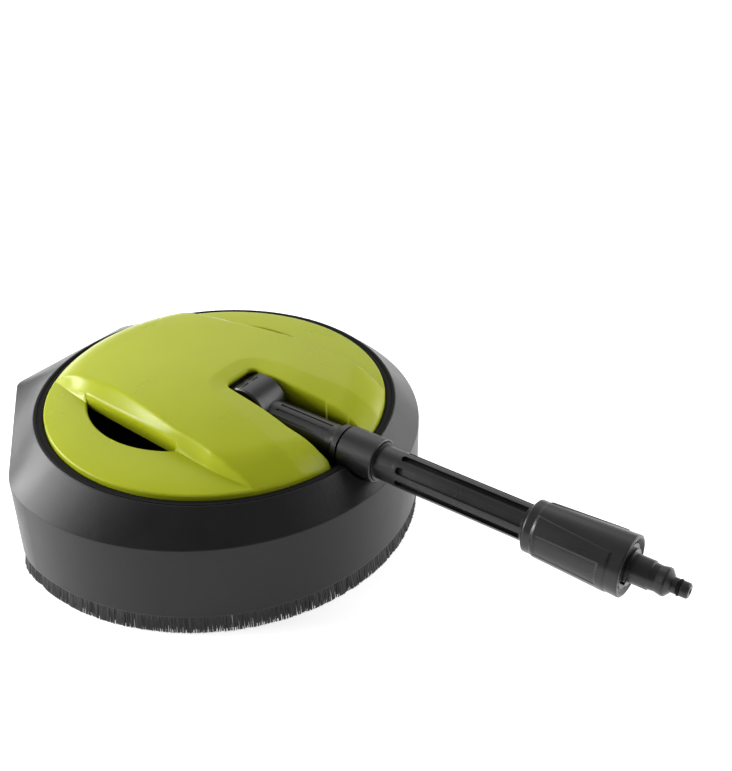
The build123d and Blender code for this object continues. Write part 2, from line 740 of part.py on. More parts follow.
def make_sleeve():
    """Coupling sleeve: tapered outside, two raised wedge panels, open mouth in front."""
    back = sleeve_radius_back
    front = sleeve_radius_front
    body = turned_x(
        [
            (sleeve_start, tube_radius + running_gap),
            (sleeve_start, back - sleeve_band_step - 1.0),
            (sleeve_start + 1.0, back - sleeve_band_step),
            (sleeve_start + sleeve_band - 0.7, back - sleeve_band_step + 0.1),
            (sleeve_start + sleeve_band, back),
            (sleeve_end - 0.8, front),
            (sleeve_end, front - 0.8),
            (sleeve_end, front - sleeve_skin),
            (sleeve_end - sleeve_mouth, front - sleeve_skin),
            (sleeve_end - sleeve_mouth - 1, front - sleeve_skin - 1.6),
            (sleeve_start + sleeve_end_wall, back - sleeve_skin - 1.0),
            (sleeve_start + sleeve_end_wall, tube_radius + running_gap),
        ]
    )
    return body


def make_inlet_spigot():
    """Nipple that plugs into the gun: flange, stepped body, flared bead, stem with a seal groove."""
    flange = sleeve_end - flange_width - 1.0
    body = turned_x(
        [
            (tube_end - 24, 0),
            (tube_end - 24, tube_core),
            (tube_end + 0.2, tube_core),
            (tube_end + 0.2, 11.0),
            (flange, 11.0),
            (flange, flange_radius),
            (flange + flange_width, flange_radius),
            (flange + flange_width, 11.4),
            (flange + flange_width + 2.0, 11.4),
            (flange + flange_width + 2.0, nipple_radius),
            (nipple_tip - 22.5, nipple_radius),
            (nipple_tip - 22.0, nipple_radius - 0.7),
            (nipple_tip - 18.5, nipple_radius - 1.0),
            (nipple_tip - 14.0, nipple_radius - 0.2),
            (nipple_tip - 12.8, nipple_radius - 0.4),
            (nipple_tip - 10.2, nipple_stem + 0.6),
            (nipple_tip - 10.0, nipple_stem),
            (nipple_tip - 7.0, nipple_stem),
            (nipple_tip - 7.0, nipple_stem - 1.1),
            (nipple_tip - 4.8, nipple_stem - 1.1),
            (nipple_tip - 4.8, nipple_stem),
            (nipple_tip - 0.9, nipple_stem),
            (nipple_tip, nipple_stem - 0.9),
            (nipple_tip, 0),
        ]
    )
    body -= along_x(nipple_bore, 0, tube_end - 25, nipple_tip + 1)
    key = Pos(flange + flange_width, 0, lance_height + 10.2) * Box(4.2, 3.2, 3.0)
    body -= Pos(0, 0, lance_height) * Rot(115, 0, 0) * Pos(0, 0, -lance_height) * key
    return body


# ---------------------------------------------------------------- write the nodes
save("housing_shell", make_housing())
save("trim_ring", make_trim_ring())
save("top_cover", make_cover())
cover_screw_set = [Pos(x, y, bearing_top) * screw(16) for x, y in cover_bosses]
save("cover_screws", *cover_screw_set)

rails, bristles, brush_screw_set = make_brush()
save("brush_rail", *rails)
save("brush_bristles", *bristles)
save("brush_screws", *brush_screw_set)

save("bearing_housing", make_bearing_housing())
flange_bottom = bearing_top - bearing_flange
centre_screw_length = deck_top + manifold_flange - 1.5 - flange_bottom
save("centre_screws", *[Pos(x, y, flange_bottom) * screw(centre_screw_length) for x, y in centre_bolts])
for name, low in (("upper", upper_bearing), ("lower", lower_bearing)):
    outer_race, inner_race, balls = make_bearing(low)
    save(f"{name}_bearing_outer_race", outer_race)
    save(f"{name}_bearing_inner_race", inner_race)
    save(f"{name}_bearing_balls", *balls)
spacer_bottom = lower_bearing + bearing_width
save("bearing_spacer", tube(bearing_outer - 0.1, bearing_outer - 2.5, spacer_bottom, upper_bearing))
save("rotor_shaft", make_shaft())
save("shaft_circlip", tube(shaft_radius + 1.6, shaft_radius - 0.7, lower_bearing - 1.2, lower_bearing - 0.2))
save("rotor_hub", make_rotor_hub())
save("rotor_nut", tube(9.0, 0, hub_bottom - 1.5, shaft_bottom))
arm_pieces = ("spray_arm", "nozzle_holder", "nozzle_tip")
for name, turn in (("left", 0), ("right", 180)):
    for piece, solid in zip(arm_pieces, make_spray_arm()):
        save(f"{piece}_{name}", Rot(0, 0, turn) * solid)

save("inlet_manifold", make_manifold())
save("shaft_seal", tube(9.9, shaft_radius + 0.06, bearing_top + 0.4, deck_top + 0.4))
save("trunnion_cap_left", make_cap(-1))
save("trunnion_cap_right", make_cap(1))
save("cap_screws", *cap_screws())

save("swivel_arm", make_swivel_arm())
save("trunnion_seals", *trunnion_seals())
seal_x = spigot_end - 5.0
save("spigot_seal", Pos(seal_x, 0, lance_height) * Rot(0, 90, 0) * Torus(spigot_radius - 0.7, 0.7))
save("lance_tube", make_lance_tube())
save("water_pipe", along_x(pipe_radius, pipe_bore, spigot_end + 0.4, tube_end - 24.2))
save("union_collar", make_collar())
save("coupling_sleeve", make_sleeve())
save("sleeve_circlip", along_x(tube_radius + 1.8, tube_radius - 1.0, sleeve_start + 3.4, sleeve_start + 4.6))
save("inlet_spigot", make_inlet_spigot())
tip_x = nipple_tip - 5.9
save("nipple_seal", Pos(tip_x, 0, lance_height) * Rot(0, 90, 0) * Torus(nipple_stem - 0.3, 0.8))
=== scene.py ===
import json
import math

import bpy
import numpy as np
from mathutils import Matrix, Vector


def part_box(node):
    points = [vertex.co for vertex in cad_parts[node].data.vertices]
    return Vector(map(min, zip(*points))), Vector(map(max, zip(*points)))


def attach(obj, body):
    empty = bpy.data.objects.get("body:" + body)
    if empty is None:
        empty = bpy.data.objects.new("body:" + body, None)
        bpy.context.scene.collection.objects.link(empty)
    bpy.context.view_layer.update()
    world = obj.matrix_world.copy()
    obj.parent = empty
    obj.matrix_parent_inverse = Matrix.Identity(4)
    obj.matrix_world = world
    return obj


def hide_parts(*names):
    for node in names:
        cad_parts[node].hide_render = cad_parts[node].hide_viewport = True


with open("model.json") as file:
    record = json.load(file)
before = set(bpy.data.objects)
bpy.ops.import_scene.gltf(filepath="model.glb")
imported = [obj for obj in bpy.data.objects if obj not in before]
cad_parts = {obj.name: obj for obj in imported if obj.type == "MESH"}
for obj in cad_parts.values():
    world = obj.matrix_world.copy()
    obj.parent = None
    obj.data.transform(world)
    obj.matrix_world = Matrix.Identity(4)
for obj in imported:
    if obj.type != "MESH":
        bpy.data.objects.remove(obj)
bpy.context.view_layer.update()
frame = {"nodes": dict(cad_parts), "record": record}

MM = 0.001

# ---------------------------------------------------------------- sizes read from the frame, mm
cover_low, cover_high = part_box("top_cover")
shell_low, shell_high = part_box("housing_shell")
sleeve_low, sleeve_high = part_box("coupling_sleeve")

cover_radius = -cover_low.x / MM
cover_bottom = cover_low.z / MM
cover_top = cover_high.z / MM
shell_radius = shell_high.y / MM
nose_reach = -shell_low.x / MM
sleeve_start = sleeve_low.x / MM
sleeve_end = sleeve_high.x / MM
sleeve_front_radius = sleeve_high.y / MM
lance_height = (sleeve_low.z + sleeve_high.z) / 2 / MM

# ---------------------------------------------------------------- sizes of the looks, mm
crown_radius = 474.0            # the dome's crown
crown_edge = 92.0               # where the crown meets the rounded shoulder
rim_radius = 118.5
rim_height = 91.2
rim_reach = rim_radius + 0.7    # beyond this the dome's height no longer falls
cover_skin = 2.5
edge_round = 1.3                # rounding of the cover's cut edges
edge_flat = 0.4                 # flat strip before that rounding
grid_step = 1.08
grid_reach = 1.06               # half the grid's width as a share of the cover's radius
wall_lines = (-0.45, 0.04, 0.32, 0.75)      # grid lines beside a hand hold's edge
snap_share = 0.52               # points nearer to the skin line than this share of a step move onto it
keep_margin = 0.08              # points no further than this outside the skin line count as on the plastic
least_area = 0.01               # smaller polygons in plan are left out, mm2
least_wall = 0.6                # least height of the wall under a cut edge

grip_line = 70.5                # rotor axis to a hand hold's edge
grip_yaw = math.radians(3.5)    # the two hand holds spread by this angle towards the lance
grip_bends = ((-1, -60.0, 45.0, 7.0), (1, 60.0, 33.0, 5.7))     # side, start, run, depth of each end's bend
grip_edge_height = 102.5
grip_edge_drop = 2.2            # least depth of a hold's edge under the dome
grip_outer_share = 0.235        # height of the lowered outer part as a share of the dome's
grip_wall_x = (-92.0, -50.0, 22.0, 58.0)    # the upright wall grows and fades between these
facet_slope = 1.27
facet_growth = 0.0155           # the slope grows this fast towards the lance
facet_back = (-60.0, 15.0, 5.0)     # behind the first the facet steepens; its run and the bend's rounding
ramp = (0.045, 0.23)            # the upright wall lies between these distances from the edge in plan
grip_opening_length = 91.0
grip_opening_shift = -9.5
grip_opening_depth = 17.5
grip_wall_bottom = 91.0
grip_far_bottom = 79.5

mouth_crease = 0.5              # widths over which the cover's creases are rounded
level_crease = 0.8
facet_crease = 0.35
edge_crease = 0.2

slot_x = (22.0, 58.0, 82.0, 108.0, 122.0)   # stations along the lance slot
slot_half = (14.0, 16.5, 19.2, 19.2, 17.4)  # its half-width at each of them
slot_corner = 5.5
slot_wall_bottom = 86.5
slot_end_bottom = 109.0
relief_bottom = 103.0           # the walls stay above the swivel's trunnions
relief_x = (28.0, 46.0)
band_x = (20.0, 37.0, 72.0, 110.0)          # stations along the shallow valley round the slot
band_width = (12.0, 14.5, 18.5, 22.0)       # its width at each of them
band_slope = 0.16

shell_shift = 8.5               # the housing's centre lies this far behind the rotor axis
nose_side_distance = 138.5      # housing's centre to the faces beside the nose
nose_side_angle = math.radians(48.2)
nose_corner = 0.9               # roundings of the housing's corners in plan
shell_corner = 0.5

bristle_top = 32.0
bristle_rows = ((4.1, 0.50), (5.8, 0.60), (7.6, 0.80))      # inset from the housing and spacing of each
bristle_seed = 11
clump_strands = 9               # strands that lean together

sleeve_back_radius = 17.3
sleeve_band = 6.0
sleeve_skin = 2.4
sleeve_bore = 11.75
panel_rise = 0.55               # height of the raised wedge panels
panel_x = (259.5, 307.8)
panel_angle = (25.0, 38.5)      # a panel's edge from straight up, degrees, at its back and its front
panel_radius = 18.5
panel_edge = 0.9                # width of the panels' slanted border
window_x = (262.0, 302.6)       # the window sunk into each panel
window_angle = 65.0


# ---------------------------------------------------------------- mesh helpers
def piece(name, points, faces, body, material, node):
    """A smooth mesh from points in mm and faces, riding on a body in place of a CAD node."""
    mesh = bpy.data.meshes.new(name)
    mesh.from_pydata((np.asarray(points, float) * MM).tolist(), [], faces)
    mesh.validate()
    mesh.polygons.foreach_set("use_smooth", np.full(len(mesh.polygons), True))
    mesh.materials.append(material)
    obj = bpy.data.objects.new(name, mesh)
    bpy.context.scene.collection.objects.link(obj)
    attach(obj, body)
    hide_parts(node)


def grid_faces(rows, columns, closed):
    """Quads of a grid of points numbered row by row, closed round in both directions where asked."""
    i = np.arange(rows if closed else rows - 1)
    j = np.arange(columns if closed else columns - 1)
    i, j = (a.ravel() for a in np.meshgrid(i, j, indexing="ij"))
    down, right = (i + 1) % rows, (j + 1) % columns
    return np.stack([i * columns + j, down * columns + j, down * columns + right, i * columns + right], 1)


def softplus(value, width):
    """max(value, 0) with its corner rounded over width."""
    return width * np.logaddexp(0.0, value / width)


def soft_min(a, b, width):
    """min(a, b) with its crease rounded over width."""
    return a - softplus(a - b, width)


def smooth_step(value):
    """0 below 0 and 1 above 1, with a smooth rise between."""
    t = np.clip(value, 0.0, 1.0)
    return t * t * (3 - 2 * t)


# ---------------------------------------------------------------- cover
def dome_height(r):
    """Height of the dome at plan radius r: a crown sphere, then a shoulder arc tangent to it."""
    centre = cover_top - crown_radius
    edge_z = centre + math.sqrt(crown_radius ** 2 - crown_edge ** 2)
    slope = crown_edge / crown_radius
    fall = math.atan2(edge_z - rim_height, rim_radius - crown_edge)
    chord = math.hypot(rim_radius - crown_edge, edge_z - rim_height)
    round_radius = chord / (2 * math.sin(fall - slope))
    arc_r = crown_edge - round_radius * math.sin(slope)
    arc_z = edge_z - round_radius * math.cos(slope)
    crown = centre + np.sqrt(np.maximum(crown_radius ** 2 - r ** 2, 0))
    shoulder = arc_z + np.sqrt(np.maximum(round_radius ** 2 - (r - arc_r) ** 2, 0))
    return np.where(r < crown_edge, crown, shoulder)


def slot_clearance(x, y):
    """Distance outwards from the lance slot: a rounded box whose half-width follows the stations."""
    side = np.abs(y) - np.interp(x, slot_x, slot_half)
    end = slot_x[0] - x
    p, q = side + slot_corner, end + slot_corner
    outside = np.hypot(np.maximum(p, 0), np.maximum(q, 0))
    return outside + np.minimum(np.maximum(p, q), 0) - slot_corner


def grip_place(x, y):
    """Place along and across a hand hold, measured from the rotor axis."""
    cos, sin = math.cos(grip_yaw), math.sin(grip_yaw)
    return x * cos + np.abs(y) * sin, np.abs(y) * cos - x * sin


def opening_clearance(x, y):
    """Distance outwards from the nearer hand opening, which is a chord and an arc over it."""
    u, v = grip_place(x, y)
    u = u - grip_opening_shift
    half = grip_opening_length / 2
    radius = (half ** 2 + grip_opening_depth ** 2) / (2 * grip_opening_depth)
    centre = grip_line + grip_opening_depth - radius
    chord = np.hypot(np.maximum(np.abs(u) - half, 0), v - grip_line)
    from_centre = np.hypot(u, v - centre)
    on_arc = centre + (v - centre) * radius / np.maximum(from_centre, 1e-6) >= grip_line
    corner = np.hypot(np.abs(u) - half, v - grip_line)
    arc = np.where(on_arc, np.abs(from_centre - radius), corner)
    inside = (v > grip_line) & (from_centre < radius)
    return np.where(inside, -1, 1) * np.minimum(chord, arc)


def cover_clearance(x, y):
    """Distance from a place on the cover to its nearest edge, positive on the plastic."""
    rim = cover_radius - np.hypot(x, y)
    edge = soft_min(rim, slot_clearance(x, y), mouth_crease)
    return np.minimum(edge, opening_clearance(x, y))


def edge_line(x):
    """Plan distance of a hand hold's edge from the lance's plane: straight, with both ends bent in."""
    line = (grip_line + math.sin(grip_yaw) * x) / math.cos(grip_yaw)
    for side, start, run, depth in grip_bends:
        line = line - depth * (np.maximum(side * (x - start), 0) / run) ** 1.5
    return line


def lowered(dome):
    """Height of the lowered outer part where the dome would have the given height."""
    return rim_height + grip_outer_share * (dome - rim_height)


def edge_height(x):
    """Height of a hand hold's edge: level over the upright wall, down on the outer part past its ends."""
    dome = dome_height(np.minimum(np.hypot(x, edge_line(x)), rim_reach))
    rise = smooth_step((x - grip_wall_x[0]) / (grip_wall_x[1] - grip_wall_x[0]))
    fall = smooth_step((x - grip_wall_x[2]) / (grip_wall_x[3] - grip_wall_x[2]))
    level = soft_min(dome - grip_edge_drop, grip_edge_height, level_crease)
    return lowered(dome) + (rise - fall) * (level - lowered(dome))


def cover_height(x, y):
    """Top of the cover: the dome with a shallow valley round the slot, each hand hold's facet falling to its
    edge, the upright wall under that edge and the lowered outer part beyond it.
    """
    past = np.abs(y) - edge_line(x)
    dome = dome_height(np.minimum(np.hypot(x, y), rim_reach))
    valley = softplus(np.interp(x, band_x, band_width) - slot_clearance(x, y), facet_crease)
    steep = facet_slope * np.exp(facet_growth * x + softplus(facet_back[0] - x, facet_back[2]) / facet_back[1])
    facet = edge_height(x) + steep * softplus(-past, edge_crease)
    upper = soft_min(dome - band_slope * valley, facet, facet_crease)
    share = np.clip((past - ramp[0]) / (ramp[1] - ramp[0]), 0, 1)
    return upper * (1 - share) + lowered(dome) * share


def wall_bottom(x, y):
    """Lower end of the wall that hangs from the nearest edge of the cover."""
    slot = np.full(x.shape, slot_wall_bottom)
    slot = np.where((x > relief_x[0]) & (x < relief_x[1]), relief_bottom, slot)
    slot = np.where(x < relief_x[0], slot_end_bottom, slot)
    chord_side = grip_place(x, y)[1] < grip_line + 1.5
    opening = np.where(chord_side, grip_wall_bottom, grip_far_bottom)
    rim = cover_radius - np.hypot(x, y)
    clear = np.stack([rim, slot_clearance(x, y), opening_clearance(x, y)])
    kind = np.argmin(clear, 0)
    return np.choose(kind, [np.full(x.shape, cover_bottom), slot, opening])


def slope_of(field, x, y, step=0.02):
    """Unit direction in plan in which field grows."""
    gx = (field(x + step, y) - field(x - step, y)) / (2 * step)
    gy = (field(x, y + step) - field(x, y - step)) / (2 * step)
    size = np.maximum(np.hypot(gx, gy), 1e-6)
    return gx / size, gy / size


def plan_area(x, y):
    """Signed plan area of each polygon whose corners are the columns of x and y."""
    return ((x * np.roll(y, -1, 1)) - (np.roll(x, -1, 1) * y)).sum(1) / 2


def make_cover(material):
    """Height surface on a plan grid whose outer points are moved onto the line one skin inside each edge.

    Quads with all corners on the plastic are kept, and so are the triangles of quads with three of them.
    From that line strips run out over the rounded edge, down the wall, back under it and up to the
    underside, which is the top surface lowered by the skin.
    """
    count = int(cover_radius * grid_reach / grid_step) + 1
    step = grip_line / round(grip_line / grid_step)
    lines = np.arange(-count, count + 1) * step
    beside = grip_line + np.array(wall_lines)
    across = lines[np.abs(np.abs(lines) - grip_line) > 0.1]
    across = np.sort(np.concatenate([across, beside, -beside]))
    x, w = (a.ravel() for a in np.meshgrid(lines, across, indexing="ij"))
    y = w * edge_line(x) / grip_line
    for _ in range(3):
        clear = cover_clearance(x, y) - cover_skin
        gx, gy = slope_of(cover_clearance, x, y)
        near = np.abs(clear) < snap_share * step
        x = np.where(near, x - gx * clear, x)
        y = np.where(near, y - gy * clear, y)
    clear = cover_clearance(x, y) - cover_skin
    keep = clear > -keep_margin
    quads = grid_faces(len(lines), len(across), closed=False)
    inside = keep[quads]
    full = quads[inside.all(1)]
    three = inside.sum(1) == 3
    missing = np.argmin(inside[three], 1)
    order = (missing[:, None] + np.array([1, 2, 3])) % 4
    corner = np.take_along_axis(quads[three], order, 1)
    full, corner = (f[np.abs(plan_area(x[f], y[f])) > least_area] for f in (full, corner))
    used, where = np.unique(np.concatenate([full.ravel(), corner.ravel()]), return_inverse=True)
    full = where[: full.size].reshape(-1, 4)
    corner = where[full.size:].reshape(-1, 3)
    x, y = x[used], y[used]
    n = len(x)
    top = np.stack([x, y, cover_height(x, y)], 1)

    sides = np.concatenate([full[:, [0, 1]], full[:, [1, 2]], full[:, [2, 3]], full[:, [3, 0]],
                            corner[:, [0, 1]], corner[:, [1, 2]], corner[:, [2, 0]]])
    key = np.sort(sides, 1) @ np.array([n, 1])
    _, first, uses = np.unique(key, return_index=True, return_counts=True)
    border = sides[first[uses == 1]]
    loop, where = np.unique(border.ravel(), return_inverse=True)
    border = where.reshape(-1, 2)
    bx, by = x[loop], y[loop]
    gx, gy = slope_of(cover_clearance, bx, by)
    start = cover_clearance(bx, by)

    def ring(distance, drop):
        """The border's points at a distance from the edge, lowered by drop under the surface."""
        px, py = bx - gx * (start - distance), by - gy * (start - distance)
        return np.stack([px, py, cover_height(px, py) - drop], 1)

    rings = [ring(edge_round + edge_flat, 0)]
    for turn in np.radians((0, 22.5, 45, 67.5, 90)):
        rings.append(ring(edge_round * (1 - math.sin(turn)), edge_round * (1 - math.cos(turn))))
    foot = rings[-1].copy()
    low = wall_bottom(foot[:, 0] + gx * 0.2, foot[:, 1] + gy * 0.2)
    foot[:, 2] = np.minimum(low, foot[:, 2] - least_wall)
    inner = np.stack([bx, by, foot[:, 2]], 1)
    rings += [foot, inner]

    under = top - np.array([0, 0, cover_skin])
    points = np.concatenate([top, under] + rings)
    ring_start = 2 * n + np.arange(len(rings)) * len(loop)
    levels = [loop] + [s + np.arange(len(loop)) for s in ring_start] + [n + loop]
    faces = full.tolist() + corner.tolist()
    faces += (full[:, ::-1] + n).tolist() + (corner[:, ::-1] + n).tolist()
    for upper, lower in zip(levels[:-1], levels[1:]):
        a, b = border[:, 0], border[:, 1]
        faces += np.stack([upper[b], upper[a], lower[a], lower[b]], 1).tolist()
    piece("cover_skin", points, faces, "base", material, "top_cover")


# ---------------------------------------------------------------- bristles
def housing_plan(turn):
    """Plan radius of the housing about its own centre: the circle, cut by the nose's flat and its sides."""
    flat = (nose_reach - shell_shift) / np.maximum(-np.cos(turn), 1e-6)
    away = np.abs(np.arctan2(np.sin(turn), -np.cos(turn)))
    side = nose_side_distance / np.maximum(np.cos(away - nose_side_angle), 1e-6)
    cut = np.where(np.cos(turn) < 0, flat, 1e3)
    side = np.where(np.cos(away - nose_side_angle) > 0.2, side, 1e3)
    nose = soft_min(np.minimum(cut, 999.0), side, nose_corner)
    return soft_min(nose, np.full_like(turn, shell_radius), shell_corner)


def plan_path(inset, count):
    """count points evenly spaced along the housing plan drawn in by inset, with outward directions."""
    turn = np.linspace(0, 2 * math.pi, 7201)
    r = housing_plan(turn)
    x, y = r * np.cos(turn), r * np.sin(turn)
    dx, dy = np.gradient(x, turn), np.gradient(y, turn)
    size = np.hypot(dx, dy)
    nx, ny = dy / size, -dx / size
    x, y = x - inset * nx, y - inset * ny
    run = np.concatenate([[0], np.cumsum(np.hypot(np.diff(x), np.diff(y)))])
    at = np.arange(count) / count * run[-1]
    spots = [np.interp(at, run, a) for a in (x, y, nx, ny)]
    return spots[0] - shell_shift, *spots[1:]


def make_bristles(material):
    """Rows of strands, each a thin four-sided blade in two lengths whose tip leans and differs in height."""
    rng = np.random.default_rng(bristle_seed)
    quads = []
    for level in (0, 4):
        for k in range(4):
            m = (k + 1) % 4
            quads.append((level + k, level + m, level + 4 + m, level + 4 + k))
    quads += [(8, 9, 10, 11), (3, 2, 1, 0)]
    points, faces, start = [], [], 0
    for inset, pitch in bristle_rows:
        count = int(2 * math.pi * (shell_radius - inset) / pitch)
        x, y, nx, ny = plan_path(inset, count)
        knots = np.arange(0, count + clump_strands, clump_strands)
        clump = np.interp(np.arange(count), knots, rng.normal(0, 1, len(knots)))
        flare = 5.4 - 0.55 * inset
        lean_out = np.clip(rng.normal(0.15, 0.30, count) + 0.25 * clump, -0.6, 0.55) + flare
        lean_along = rng.normal(0, 0.30, count)
        shorter = np.abs(rng.normal(0, 0.16, count)) + 0.06 * np.abs(clump)
        wide = rng.uniform(0.26, 0.42, count)
        thick = wide * 0.9
        levels = []
        for share, taper in ((0.0, 1.0), (0.55, 1.0), (1.0, 0.75)):
            z = bristle_top + share * (shorter - bristle_top)
            px = x + nx * lean_out * share ** 2 - ny * lean_along * share ** 2
            py = y + ny * lean_out * share ** 2 + nx * lean_along * share ** 2
            for a, b in ((-1, 1), (1, 1), (1, -1), (-1, -1)):
                qx = px - ny * a * wide * taper + nx * b * thick * taper
                qy = py + nx * a * wide * taper + ny * b * thick * taper
                levels.append(np.stack([qx, qy, z], 1))
        points.append(np.stack(levels, 1).reshape(-1, 3))
        first = start + len(levels) * np.arange(count)[:, None, None]
        faces += (first + np.array(quads)[None]).reshape(-1, 4).tolist()
        start += len(points[-1])
    piece("bristle_strands", np.concatenate(points), faces, "base", material, "brush_bristles")


# ---------------------------------------------------------------- coupling sleeve
def edge_rounding(distance, radius):
    """How far a profile drops at a distance from its end, where the end is rounded by radius."""
    into = np.maximum(radius - distance, 0)
    return radius - np.sqrt(np.maximum(radius ** 2 - into ** 2, 0))


def make_sleeve(material):
    """A profile turned about the lance axis, with a raised wedge panel and a sunk window on each side."""
    back, front, skin = sleeve_back_radius, sleeve_front_radius, sleeve_skin
    band_end = sleeve_start + sleeve_band
    along = np.concatenate([
        np.linspace(sleeve_start, band_end - 0.8, 8),
        np.linspace(band_end - 0.6, sleeve_end, 110),
    ])
    share = (along - sleeve_start - sleeve_band) / (sleeve_end - sleeve_start - sleeve_band)
    outer = np.where(share < 0, back - 0.7, back - panel_rise + (front - back) * np.maximum(share, 0))
    outer = outer - edge_rounding(sleeve_end - along, 0.8)
    outer = outer - edge_rounding(along - sleeve_start, 1.0)
    turn = np.radians(np.arange(0, 360, 1.25))
    phi, x = np.meshgrid(turn, along, indexing="ij")
    angle = np.degrees(np.arccos(np.clip(np.abs(np.cos(phi)), 0, 1)))
    from_top = np.where(np.cos(phi) >= 0, angle, 180 - angle)
    side = 90.0 - np.abs(from_top - 90.0)
    panel_low, panel_high = panel_x
    reach = np.clip((x - panel_low - 0.5) / (panel_high - panel_low - 0.8), 0, 1)
    edge_angle = panel_angle[0] + (panel_angle[1] - panel_angle[0]) * reach ** 0.8
    arc = np.radians(side - edge_angle) * panel_radius
    wedge = np.minimum(arc, np.minimum(x - panel_low, panel_high - x))
    window_arc = np.radians(side - window_angle) * panel_radius
    window = np.minimum(window_arc, np.minimum(x - window_x[0], window_x[1] - x))
    lift = panel_rise * (smooth_step(wedge / panel_edge) - 0.8 * smooth_step(window / panel_edge))
    radius = np.repeat(outer[None], len(turn), 0) + lift
    mouth, wall = sleeve_end - 11.0, sleeve_start + 3.0
    tail = ((sleeve_end, front - skin), (mouth, front - skin), (mouth - 1.0, front - skin - 1.6),
            (wall, back - skin - 1.0), (wall, sleeve_bore), (sleeve_start, sleeve_bore))
    tail_x, tail_r = np.array(tail).T
    x = np.concatenate([x, np.repeat(tail_x[None], len(turn), 0)], 1)
    radius = np.concatenate([radius, np.repeat(tail_r[None], len(turn), 0)], 1)
    phi = np.repeat(turn[:, None], x.shape[1], 1)
    points = np.stack([x, radius * -np.sin(phi), lance_height + radius * np.cos(phi)], 2).reshape(-1, 3)
    faces = grid_faces(len(turn), x.shape[1], closed=True)[:, ::-1].tolist()
    piece("sleeve_shell", points, faces, "sleeve", material, "coupling_sleeve")


# ---------------------------------------------------------------- shared effects
def new_group(name, inputs, outputs):
    """A shader node group with float inputs, given with their defaults, and float outputs."""
    tree = bpy.data.node_groups.new(name, "ShaderNodeTree")
    for label, value in inputs.items():
        socket = tree.interface.new_socket(label, in_out="INPUT", socket_type="NodeSocketFloat")
        socket.default_value = value
    for label in outputs:
        tree.interface.new_socket(label, in_out="OUTPUT", socket_type="NodeSocketFloat")
    return tree, tree.nodes.new("NodeGroupInput"), tree.nodes.new("NodeGroupOutput")


def add(tree, kind, links=(), **values):
    """A node with its inputs set or linked; keys that are not inputs are the node's own properties."""
    node = tree.nodes.new(kind)
    for key, value in values.items():
        setattr(node, key, value)
    for socket, value in dict(links).items():
        target = node.inputs[socket]
        if isinstance(value, bpy.types.NodeSocket):
            tree.links.new(value, target)
        else:
            target.default_value = value
    return node


def maths(tree, operation, a, b=0.0):
    """Output of a math node."""
    return add(tree, "ShaderNodeMath", {0: a, 1: b}, operation=operation).outputs[0]


def noise(tree, place, scale, detail):
    """Output of a noise texture."""
    return add(tree, "ShaderNodeTexNoise", {"Vector": place, "Scale": scale, "Detail": detail}).outputs[0]


def mapped(tree, value, low, high, to_low=0.0, to_high=1.0):
    """A value taken from the span low to high onto another span."""
    return add(tree, "ShaderNodeMapRange", {"Value": value, "From Min": low, "From Max": high,
                                            "To Min": to_low, "To Max": to_high}).outputs[0]


def mixed(tree, share, first, second):
    """Two colours mixed; each is a socket or an RGB tuple."""
    first, second = (c if isinstance(c, bpy.types.NodeSocket) else (*c, 1) for c in (first, second))
    return add(tree, "ShaderNodeMix", {0: share, 6: first, 7: second}, data_type="RGBA").outputs[2]


def moulded_surface():
    """Moulded plastic: spark-eroded grain for the bump and slow mottling for the shade."""
    tree, given, out = new_group("moulded_surface", {"Grain": 2200.0, "Mottle": 30.0}, ["Height", "Shade"])
    place = add(tree, "ShaderNodeTexCoord").outputs["Object"]
    cells = add(tree, "ShaderNodeTexVoronoi", {"Vector": place, "Scale": given.outputs["Grain"]})
    fine = noise(tree, place, given.outputs["Grain"], 3.0)
    grain = maths(tree, "ADD", maths(tree, "MULTIPLY", cells.outputs["Distance"], 0.6), fine)
    tree.links.new(grain, out.inputs["Height"])
    tree.links.new(noise(tree, place, given.outputs["Mottle"], 4.0), out.inputs["Shade"])
    return tree


def handling_scuffs():
    """Fine hairline scratches in two directions, shown only in rubbed patches."""
    tree, given, out = new_group("handling_scuffs", {"Amount": 0.5}, ["Mask"])
    place = add(tree, "ShaderNodeTexCoord").outputs["Object"]
    masks = []
    for turn, stretch in ((0.5, 14.0), (-0.9, 18.0)):
        spun = add(tree, "ShaderNodeMapping", {"Vector": place, "Rotation": (0.2, 0.1, turn),
                                               "Scale": (22.0, 22.0 * stretch, 60.0)}).outputs[0]
        near = maths(tree, "ABSOLUTE", maths(tree, "SUBTRACT", noise(tree, spun, 2.2, 2.0), 0.5))
        masks.append(mapped(tree, near, 0.0, 0.006, 1.0, 0.0))
    worn = mapped(tree, noise(tree, place, 38.0, 3.0), 0.56, 0.72)
    both = maths(tree, "MULTIPLY", maths(tree, "MAXIMUM", *masks), worn)
    tree.links.new(maths(tree, "MULTIPLY", both, given.outputs["Amount"]), out.inputs["Mask"])
    return tree


def settled_dust():
    """Thin dust where a face looks up, broken up by noise."""
    tree, given, out = new_group("settled_dust", {"Amount": 0.1}, ["Mask"])
    coords = add(tree, "ShaderNodeTexCoord")
    up = add(tree, "ShaderNodeSeparateXYZ", {0: coords.outputs["Normal"]}).outputs["Z"]
    facing = mapped(tree, up, 0.35, 0.95)
    cloud = mapped(tree, noise(tree, coords.outputs["Object"], 24.0, 6.0), 0.35, 0.75)
    thick = maths(tree, "MULTIPLY", facing, cloud)
    tree.links.new(maths(tree, "MULTIPLY", thick, given.outputs["Amount"]), out.inputs["Mask"])
    return tree


